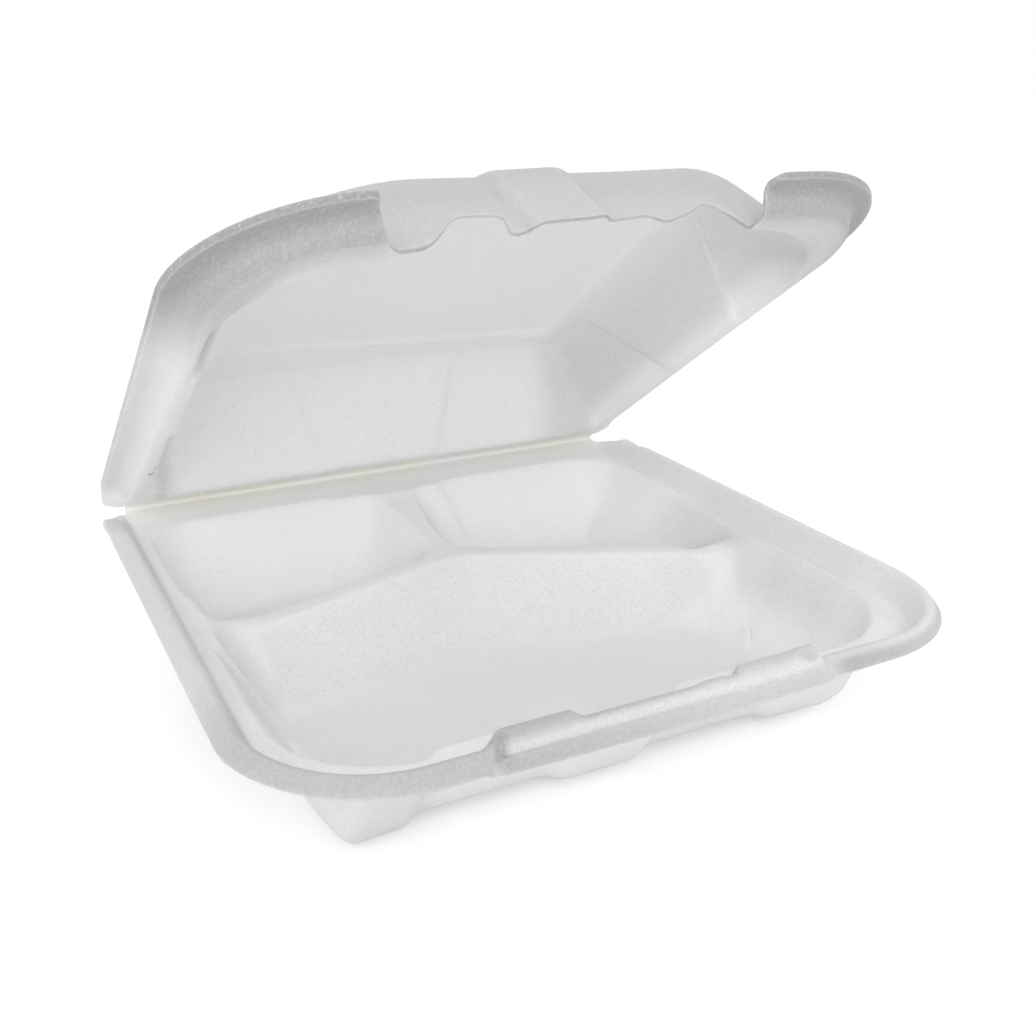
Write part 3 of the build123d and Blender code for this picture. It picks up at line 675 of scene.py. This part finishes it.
def paint_tray(obj, at, n_plan):
    x, y, z = at.T
    which = np.arange(len(at))
    on_top, on_edge = which < n_plan, which >= 2 * n_plan
    e = outside(x, y, **RIM)
    top, foot = divider_lines(x)
    ahead = ramp(-150, -195, y)
    left = ramp(40, -60, x)
    # coarse beads on the divider's front face and in a band along the catch bar
    face = ramp(2.5, 5.5, top - y) * ramp(-2, 2, y - foot)
    face = face * ramp(-34, -31, z) * ramp(-9.3, -11.8, z)
    face = face * ramp(84, 80, np.abs(x)) * on_top
    at_front = ramp(-200, -210, y)
    crest = window(CATCH[0] + 3, CATCH[1] - 1, 4, x) * at_front
    beads_and_highlight = crest * window(6.8, 8.5, 0.8, e) * on_top
    paint(obj, "beads", np.maximum(face, beads_and_highlight))
    # painted shade on the catch bar's left end, as if in shadow, on the rest of its top though it
    # faces up, and on the skin under the front lip
    catch_end_shadow = window(CATCH[0] + 0.5, CATCH[0] + 4.5, 1.5, x) * window(4.5, 9.3, 1.5, e)
    catch_end_shadow = catch_end_shadow * at_front * on_top
    catch_top_shade = crest * (window(-1, 6.4, 2, e) + ramp(8.7, 9.3, e)) * (1 + ramp(10, 60, x)) * on_top
    under_lip_shade = ramp(3, 7, e) * ahead * ~on_top
    # the lip, denser foam with painted shade that deepens to the left and front; the valley inside
    # it on the left is kept lighter as painted light against its shading, and its right front
    # corner gets painted shade
    valley_painted_light = window(-4.0, 0.4, 2.5, e) * ramp(-60, -90, x)
    lip_density_and_shade = ramp(-7.0, 1.0, e) * (0.22 + 0.26 * left + 0.26 * ahead * (1 - 0.8 * ramp(50, 100, x)))
    lip_density_and_shade = lip_density_and_shade * (1 - 0.9 * valley_painted_light)
    right_lip_shade = ramp(6.4, 8.2, e) * ramp(-150, -190, y) * ramp(46, 56, x)
    # painted shade on the tub's walls beside the divider and in front of it
    on_wall = ramp(11, 5, TUB["half"] + TUB_TANS["side"] * (z - LEDGE) - np.abs(x))
    left_wall_shade = ramp(-77, -84, x) * window(-165, -106, 14, y)
    left_wall_shade = left_wall_shade * ramp(-33, -27, z) * ramp(-1, -5, z) * on_wall
    right_end_shade = window(64, 96, 16, x) * window(-148, -106, 18, y) * on_top
    inner = (0.3 - 0.2 * left) * ramp(-30, -12, z) * ramp(74, 90, np.abs(x)) * ramp(-58, -98, y)
    inner = inner * on_wall * (1 - 0.5 * ramp(-165, -195, y) * ramp(40, 80, x))
    # the divider's tops: the cross wall's and the leg's
    crown = window(-5.5, 5.5, 3, y - top) * ramp(-13, -9.5, z) * ramp(84, 78, np.abs(x)) * on_top
    leg = window(-7, 7, 4, x) * ramp(-14, -9, z) * ramp(-22, -30, y) * (y > top) * (e < -6)
    dark = np.maximum(lip_density_and_shade, inner) * on_top + 0.16 * left_wall_shade + 0.1 * right_end_shade + 0.35 * right_lip_shade
    # more painted shade on the lower skin and edges towards the left, and below on the edges near
    # the hinge notches
    dark = dark + 0.06 * np.maximum(crown, leg) + 0.26 * ramp(-50, -72, x) * ~on_top
    # painted highlight: the darkening is halved along the catch bar's bright band; then the painted
    # shade of the catch and under the lip
    dark = dark * (1 - 0.5 * beads_and_highlight) + 0.06 * catch_top_shade + 0.3 * catch_end_shadow + 0.25 * under_lip_shade
    dark = dark + 0.15 * on_edge * ramp(-12, -17, y)
    paint(obj, "pressed_and_shade", np.clip(dark, 0, 1))
    # a painted bluish shade on the outer lip along the front
    paint(obj, "painted_cool_shade", 0.15 * ahead * ramp(2, 5, e))
    paint(obj, "plan", at)


def paint_lid(obj, at, n_plan):
    x, y, z = at.T
    which = np.arange(len(at))
    outer, on_edge = which < n_plan, which >= 2 * n_plan
    e = outside(x, y, **LID_RIM)
    ahead = ramp(-135, -190, y)
    # the step up to the lip along the front, with a few beads showing; the lip is denser foam with
    # painted shade, and the step, facing down, and the band behind the lip get painted shade
    riser = ramp(-2.8, 1.2, e) * ahead
    paint(obj, "beads", 0.35 * riser * ~outer)
    lip_density_and_shade = ramp(-2.5, 3.0, e) * (0.24 + 0.30 * ahead) + 0.32 * riser
    behind_lip_shade = 0.48 * ramp(-17, -3, e) * ramp(2, -1, e) * ahead
    # painted shade on the side walls inside and on the left one's line along the rim, and a dark
    # line that paints the shade of the step in its panel
    side_wall_shade = (0.06 + 0.24 * ramp(60, 85, x) + 0.3 * ramp(-84, -94, x)) * ramp(-6, -12, e)
    side_wall_shade = side_wall_shade + 0.14 * window(-9, -3, 3, e) * ramp(-80, -90, x) * ramp(-80, -110, y)
    slot = window(-184, -95, 6, y) * ramp(-76, -80, x) * ramp(0, 3, z) * ramp(-4, -6, e)
    dark = (lip_density_and_shade + behind_lip_shade + side_wall_shade + 0.18 * slot) * ~outer
    # painted shade, greyer and bluish, on the outside, less so towards the hinge, and painted shade
    # on the cut edge
    outside_shade_share = 0.25 + 0.75 * ramp(-120, -185, y)
    dark = dark + outer * outside_shade_share * (0.75 + 0.17 * ramp(-2, 3, e))
    dark = dark + on_edge * (0.75 - 0.4 * ramp(-1, 3, e))
    paint(obj, "pressed_and_shade", np.clip(dark, 0, 1))
    paint(obj, "painted_cool_shade", 0.65 * outer * outside_shade_share)
    paint(obj, "plan", at)


loop = tray_outline()
points = plan_points(loop, tray_top, RIM, TRAY_RINGS, inner=-2.3)
tray, n_plan = sheet_mesh("tray_foam", loop, points, tray_top, tray_sheet, -1)
at = coordinates(tray)
at[:, 2] = np.maximum(at[:, 2], FOOT)
paint_tray(tray, at, n_plan)
put(tray, at)

loop = lid_outline()
points = plan_points(loop, lid_under, LID_RIM, LID_RINGS, inner=-2.2)
lid, n_plan = sheet_mesh("lid_foam", loop, points, lid_under, lid_sheet, 1, lid_softening)
at = coordinates(lid)
paint_lid(lid, at, n_plan)
put(lid, opened(at))


# ------------------------------------------------------------------ hinge
def bend_line(a, control, b, steps=9):
    """A smooth line from a to b, drawn towards the control point."""
    t = np.linspace(0, 1, steps)[:, None]
    return a * (1 - t) ** 2 + 2 * control * t * (1 - t) + b * t * t


def hinge_strip():
    """The thin band that bends at the hinge, from the tray's seam to the lid's."""
    def heights(x):
        y = np.full_like(x, -SEAM)
        return tray_top(x, y), lid_under(x, y)

    # the section at the middle: both skins, from the tray to the lid
    x, y = np.zeros(1), np.full(1, -SEAM)
    tray_middle, lid_middle = heights(x)
    tray_in = np.stack([x, y, tray_middle], 1)
    lid_in = opened(np.stack([x, y, lid_middle], 1))
    tray_out = offset_skin(tray_top, tray_sheet, x, y, -1)
    lid_out = opened(offset_skin(lid_under, lid_sheet, x, y, 1))
    behind = np.array([0, math.cos(LID_OPEN / 2), -math.sin(LID_OPEN / 2)])
    inner = bend_line(tray_in, behind * 1.4, lid_in)
    outer = bend_line(tray_out, behind * 5.0, lid_out)
    section = np.concatenate([inner, outer])
    t = np.linspace(0, 1, len(inner))[:, None]
    t = np.concatenate([t, t])
    # elsewhere its ends follow the two sheets up and down
    rows = []
    for x in SEAM_X:
        tray_height, lid_height = heights(np.full(1, x))
        tray_way = np.array([0, 0, tray_height[0] - tray_middle[0]])
        lid_way = opened(np.array([[0, 0, lid_height[0] - lid_middle[0]]]))[0]
        rows.append(section + (x, 0, 0) + ((1 - t) ** 2 * tray_way + t * t * lid_way))
    n_in, n = len(inner), len(section)
    faces = []
    for i in range(len(SEAM_X) - 1):
        a, b = i * n, (i + 1) * n
        for j in range(n_in - 1):
            faces.append((a + j, a + j + 1, b + j + 1, b + j))
        for j in range(n_in, n - 1):
            faces.append((a + j + 1, a + j, b + j, b + j + 1))
    last = (len(SEAM_X) - 1) * n
    cap = list(range(n_in)) + list(range(n - 1, n_in - 1, -1))
    faces.append(tuple(cap[::-1]))
    faces.append(tuple(last + j for j in cap))
    obj = make_object("hinge_strip", np.concatenate(rows), [faces])
    at = coordinates(obj)
    for name in ("beads", "pressed_and_shade", "painted_cool_shade"):
        paint(obj, name, at[:, 2] * 0)
    paint(obj, "plan", at * (1, 0, 0))
    put(obj, at)
    return obj


strip = hinge_strip()


# ------------------------------------------------------------------ materials
class Nodes:
    """Shorthand for building a node tree."""

    def __init__(self, tree):
        self.tree = tree
        tree.nodes.clear()

    def feed(self, socket, value):
        """Links a socket, or sets it where value is a plain number, colour or vector."""
        if isinstance(value, bpy.types.NodeSocket):
            self.tree.links.new(value, socket)
        else:
            socket.default_value = value

    def add(self, kind, settings=(), **inputs):
        node = self.tree.nodes.new(kind)
        for key, value in dict(settings).items():
            setattr(node, key, value)
        for key, value in inputs.items():
            self.feed(node.inputs[key.replace("_", " ")], value)
        return node

    def math(self, operation, a, b=0.0, clamp=False):
        node = self.add("ShaderNodeMath", {"operation": operation, "use_clamp": clamp})
        for socket, value in zip(node.inputs, (a, b)):
            self.feed(socket, value)
        return node.outputs[0]

    def times(self, a, b):
        return self.math("MULTIPLY", a, b)

    def vector(self, operation, a, b):
        node = self.add("ShaderNodeVectorMath", {"operation": operation})
        for socket, value in zip(node.inputs, (a, b)):
            self.feed(socket, value)
        return node.outputs

    def mix(self, share, a, b):
        """Colour a turning into colour b as share goes from 0 to 1."""
        node = self.add("ShaderNodeMix", {"data_type": "RGBA"})
        for socket, value in zip((node.inputs[0], node.inputs[6], node.inputs[7]), (share, a, b)):
            self.feed(socket, value)
        return node.outputs[2]

    def between(self, value, low, high, to_low=0.0, to_high=1.0):
        """Goes smoothly from to_low, where value is low, to to_high, where it is high."""
        return self.add("ShaderNodeMapRange", {"interpolation_type": "SMOOTHSTEP"}, Value=value,
                        From_Min=low, From_Max=high, To_Min=to_low, To_Max=to_high).outputs[0]


def grey(value):
    return (value, value, value, 1)


# the small torn places by the lid's left rear corner: where in plan, and how large
TEARS = (((-98.4, -43.0), 1.2), ((-98.9, -40.6), 0.9), ((-99.4, -37.6), 1.9))
TEAR_Z = -1.5              # after the squeeze of the plan that makes the tears oblong
TEAR_SQUEEZE = (1, 0.8, 1.5)


def torn_places(n, plan):
    """1 in the middle of each torn place, falling to 0 at its size away from it."""
    squeezed = n.vector("MULTIPLY", plan, TEAR_SQUEEZE)["Vector"]
    torn = 0.0
    for place, size in TEARS:
        gap = n.vector("DISTANCE", squeezed, (*place, TEAR_Z))["Value"]
        torn = n.math("MAXIMUM", torn, n.between(gap, 0.0, size, 1.0, 0.0))
    return torn


def foam_material():
    """White bead foam: fine grain all over, coarse beads on some faces, denser at pressed rims,
    greyer and bluish where shade is painted in, and painted lighter by the hinge.
    """
    material = bpy.data.materials.new("white_foam")
    material.use_nodes = True
    n = Nodes(material.node_tree)

    def painted(name, output="Fac"):
        return n.add("ShaderNodeAttribute", {"attribute_name": name}).outputs[output]

    def noise(scale, detail, roughness):
        node = n.add("ShaderNodeTexNoise", Vector=where, Scale=scale, Detail=detail,
                     Roughness=roughness)
        return node.outputs["Fac"]

    where = n.add("ShaderNodeTexCoord").outputs["Object"]
    beads, pressed_and_shade, painted_cool_shade = painted("beads"), painted("pressed_and_shade"), painted("painted_cool_shade")
    plan = painted("plan", "Vector")
    along_x, along_y = n.add("ShaderNodeSeparateXYZ", Vector=plan).outputs[:2]
    fine = noise(950.0, 2.0, 0.65)
    coarse = noise(1400.0, 2.0, 0.6)
    cloud = noise(55.0, 4.0, 0.55)
    cells = n.add("ShaderNodeTexVoronoi", {"feature": "F1"}, Vector=where, Scale=1100.0)
    # relief: grain everywhere, rounded beads where they show
    bead_relief = n.times(cells.outputs["Distance"], n.times(beads, -1.3))
    height = n.math("ADD", n.times(fine, 0.5), bead_relief)
    height = n.math("ADD", height, n.times(cloud, 0.6))
    bump = n.add("ShaderNodeBump", Strength=1.0, Distance=0.0003, Height=height)
    # colour: white, with faint grain, darker and greyer where pressed and where shade is painted in
    grain = n.between(fine, 0.3, 0.7)
    white = n.mix(grain, (0.90, 0.902, 0.90, 1), (0.96, 0.962, 0.96, 1))
    white = n.mix(n.times(n.between(cloud, 0.35, 0.65), 0.3), white, (0.95, 0.952, 0.95, 1))
    bead_tone = n.mix(n.between(coarse, 0.36, 0.62), (0.86, 0.863, 0.86, 1), grey(0.97))
    white = n.mix(n.times(beads, 0.75), white, bead_tone)
    white = n.mix(pressed_and_shade, white, n.mix(grain, grey(0.37), grey(0.44)))
    sparkle = n.times(n.between(fine, 0.62, 0.68), n.times(pressed_and_shade, beads))
    white = n.mix(sparkle, white, grey(0.7))
    # painted bluish shade
    white = n.mix(n.times(painted_cool_shade, 0.4), white, (0.62, 0.655, 0.655, 1))
    # the tears, broken up by the grain
    torn = n.times(n.between(torn_places(n, plan), 0.15, 0.5), n.between(fine, 0.42, 0.54))
    white = n.mix(torn, white, (0.33, 0.29, 0.20, 1))
    # painted light: the band by the hinge is made whiter so that it stays bright in the fold's
    # shade; the hinge is also faintly yellow, with a few brown and bright flecks towards its left
    # end
    by_hinge = n.between(along_y, -15.0, -1.0)
    white = n.mix(by_hinge, white, (0.985, 0.985, 0.98, 1))
    patchy = n.times(by_hinge, n.between(cloud, 0.42, 0.58, 0.1, 0.8))
    white = n.mix(patchy, white, (0.98, 0.98, 0.91, 1))
    left_end = n.between(along_x, -62.0, -40.0, 1.0, 0.0)
    left_end = n.times(n.between(along_x, -102.0, -88.0), left_end)
    fleck_place = n.times(left_end, n.between(along_y, -5.0, -2.0))
    fleck = n.times(fleck_place, n.between(coarse, 0.5, 0.6))
    white = n.mix(n.times(fleck, 0.35), white, (0.80, 0.69, 0.56, 1))
    glint = n.times(fleck_place, n.between(fine, 0.6, 0.66))
    white = n.mix(glint, white, (0.97, 0.97, 0.92, 1))
    # light goes through the thick foam a little, but not through the pressed hinge
    rough = n.math("ADD", 0.5, n.times(fine, 0.2))
    shader = n.add("ShaderNodeBsdfPrincipled", Base_Color=white, Roughness=rough,
                   Normal=bump.outputs["Normal"], Specular_IOR_Level=0.3,
                   Subsurface_Weight=n.between(along_y, -11.0, -5.0, 1.0, 0.0),
                   Subsurface_Radius=(0.003, 0.003, 0.003), Subsurface_Scale=1.0)
    n.add("ShaderNodeOutputMaterial", Surface=shader.outputs[0])
    return material


foam = foam_material()
for obj in (tray, lid, strip):
    obj.data.materials.append(foam)
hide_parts("base_tray")
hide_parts("lid")
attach(tray, "tray")
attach(lid, "cover")
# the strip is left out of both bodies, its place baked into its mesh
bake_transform(strip)


# ------------------------------------------------------------------ camera
# at the photograph's viewing angle, in metres from the part's own origin
CAMERA = Vector((-165.8, -328.1, 199.7)) / 1000
TARGET = Vector((58.25, 96.71, 12.84)) / 1000
ROLL = math.radians(0.39)
camera = link("camera", bpy.data.cameras.new("camera"))
camera.data.sensor_width = 36
camera.data.lens = 40.45
camera.data.clip_start = 0.01
camera.data.clip_end = 20
ahead = (TARGET - CAMERA).normalized()
right = ahead.cross(Vector((0, 0, 1))).normalized()
up = right.cross(ahead)
turned_right = right * math.cos(ROLL) + up * math.sin(ROLL)
turned_up = up * math.cos(ROLL) - right * math.sin(ROLL)
axes = Matrix((turned_right, turned_up, -ahead)).transposed()
camera.matrix_world = Matrix.Translation(CAMERA) @ axes.to_4x4()
bpy.context.scene.camera = camera


# ------------------------------------------------------------------ floor, world and lamps
def seen_directly(n):
    """1 for rays that the camera sees, straight on or through gloss and glass."""
    path = n.add("ShaderNodeLightPath").outputs
    total = n.math("ADD", path["Is Camera Ray"], path["Is Glossy Ray"])
    return n.math("ADD", total, path["Is Transmission Ray"], clamp=True)


def make_floor(half=6.0):
    """A pale floor that shows white to the camera and keeps the object's shadow."""
    corners = [(-half, -half, 0), (half, -half, 0), (half, half, 0), (-half, half, 0)]
    mesh = bpy.data.meshes.new("floor")
    mesh.from_pydata(corners, [], [(0, 1, 2, 3)])
    obj = link("floor", mesh)
    obj.location.z = cad_low.z
    material = bpy.data.materials.new("floor_white")
    material.use_nodes = True
    n = Nodes(material.node_tree)
    matte = n.add("ShaderNodeBsdfDiffuse", Color=(0.85, 0.85, 0.85, 1))
    glow = n.add("ShaderNodeEmission", Color=(1, 1, 1, 1), Strength=n.times(seen_directly(n), 0.36))
    total = n.add("ShaderNodeAddShader")
    for socket, part in zip(total.inputs, (matte, glow)):
        n.feed(socket, part.outputs[0])
    n.add("ShaderNodeOutputMaterial", Surface=total.outputs[0])
    obj.data.materials.append(material)


def make_world():
    """White to the camera; for the object's light a little less, and least from the sides."""
    world = bpy.data.worlds.new("studio")
    bpy.context.scene.world = world
    world.use_nodes = True
    n = Nodes(world.node_tree)
    way = n.add("ShaderNodeTexCoord").outputs["Generated"]
    aside = n.math("ABSOLUTE", n.add("ShaderNodeSeparateXYZ", Vector=way).outputs["X"])
    light = n.times(0.82, n.between(aside, 0.3, 1.0, 1.0, 0.85))
    direct = seen_directly(n)
    strength = n.math("ADD", direct, n.times(light, n.math("SUBTRACT", 1.0, direct)))
    back = n.add("ShaderNodeBackground", Color=(1, 1, 1, 1), Strength=strength)
    n.add("ShaderNodeOutputWorld", Surface=back.outputs[0])


def lamp(name, place, aim, size, watts):
    """A square softbox at place that shines at aim."""
    data = bpy.data.lights.new(name, "AREA")
    data.shape = "SQUARE"
    data.size = size
    data.energy = watts
    obj = link(name, data)
    obj.location = place
    obj.rotation_mode = "QUATERNION"
    obj.rotation_quaternion = (Vector(aim) - Vector(place)).to_track_quat("-Z", "Y")


make_floor()
make_world()
lamp("front_softbox", place=(-0.62, -1.05, 0.72), aim=(0, 0, 0.05), size=1.1, watts=6.6)

bpy.context.scene.view_settings.view_transform = "Standard"
